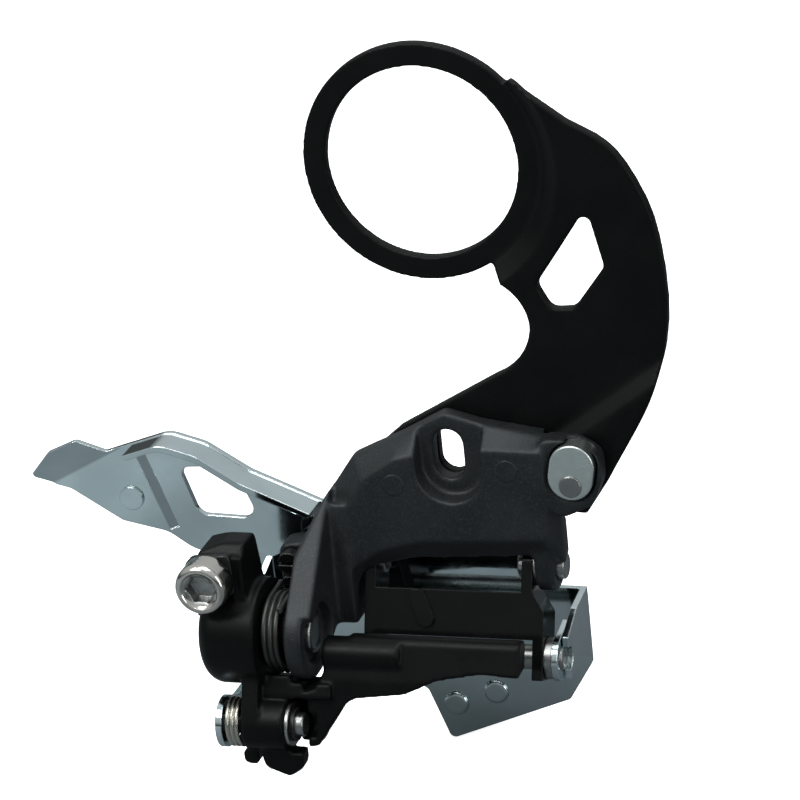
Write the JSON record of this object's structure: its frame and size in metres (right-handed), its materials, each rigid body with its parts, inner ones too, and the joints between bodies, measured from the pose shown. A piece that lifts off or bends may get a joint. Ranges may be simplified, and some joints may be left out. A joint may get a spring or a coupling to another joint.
{
  "type": "front derailleur",
  "caption": "Triple front derailleur with a parallelogram linkage, a chromed cage and a plate whose ring is clamped at the bottom bracket.",
  "frame": {"origin": "centre of the ring's bore, in the ring face that lies on the bottom-bracket shell", "axes": "+X along the link pivots toward the front of the bicycle, +Y along the bottom-bracket axle toward the chainrings, +Z from the cage toward the ring (down on the bicycle)"},
  "size_m": [0.1283, 0.0484, 0.1384],
  "materials": {
    "plate_black": "satin",
    "cast_black": "matte",
    "link_black": "satin",
    "cage_chrome": "polished",
    "zinc_steel": "satin",
    "pin_steel": "satin",
    "black_oxide_steel": "satin",
    "spring_dark": "satin",
    "bush_plastic": "matte"
  },
  "bodies": {
    "frame": {"mount_plate": "plate_black", "main_bracket": "cast_black", "plate_nut": "zinc_steel", "plate_bolt": "zinc_steel", "front_pivot_pin": "pin_steel", "inner_pivot_pin": "pin_steel", "main_pivot_pin": "pin_steel", "main_pin_clip": "black_oxide_steel", "return_spring": "spring_dark"},
    "outer_link": {"outer_link": "link_black", "main_pivot_bush_rear": "bush_plastic", "main_pivot_bush_front": "bush_plastic", "cable_clamp_plate": "black_oxide_steel", "cable_clamp_bolt": "zinc_steel"},
    "inner_link": {"inner_link": "link_black", "front_pivot_washer": "pin_steel"},
    "cage": {"cage_inner_plate": "cage_chrome", "cage_outer_plate": "cage_chrome", "cage_nose_rivet_rear": "zinc_steel", "cage_nose_rivet_front": "zinc_steel", "cage_tail_screw": "zinc_steel", "cage_tail_spacer": "zinc_steel", "cage_front_pin": "pin_steel", "cage_rear_pin": "pin_steel", "cage_pin_washer": "pin_steel", "cage_pin_clip": "black_oxide_steel", "cage_front_washer": "pin_steel", "cage_spring": "zinc_steel"},
    "low_limit_screw": {"low_limit_screw": "black_oxide_steel"},
    "high_limit_screw": {"high_limit_screw": "black_oxide_steel"}
  },
  "joints": [
    {"name": "outer_link_swing", "type": "hinge", "parent": "frame", "child": "outer_link", "pos_m": [0, -0.02, -0.0833], "axis": [1, 0, 0], "range_deg": [0, 61], "deforming": ["return_spring"]},
    {"name": "inner_link_swing", "type": "hinge", "parent": "frame", "child": "inner_link", "pos_m": [0, -0.0035, -0.07585], "axis": [1, 0, 0], "range_deg": [0, 61]},
    {"name": "cage_pivot", "type": "hinge", "parent": "outer_link", "child": "cage", "pos_m": [0, -0.0265, -0.0989], "axis": [1, 0, 0], "range_deg": [-61, 0], "deforming": ["cage_spring"]},
    {"name": "low_limit_turn", "type": "hinge", "parent": "frame", "child": "low_limit_screw", "pos_m": [-0.031, 0, -0.0756], "axis": [0, 1, 0], "continuous": true},
    {"name": "high_limit_turn", "type": "hinge", "parent": "frame", "child": "high_limit_screw", "pos_m": [-0.031, 0, -0.0804], "axis": [0, 1, 0], "continuous": true}
  ],
  "couplings": [
    {"joint": "inner_link_swing", "follows": "outer_link_swing", "ratio": 1},
    {"joint": "cage_pivot", "follows": "outer_link_swing", "ratio": -1}
  ]
}
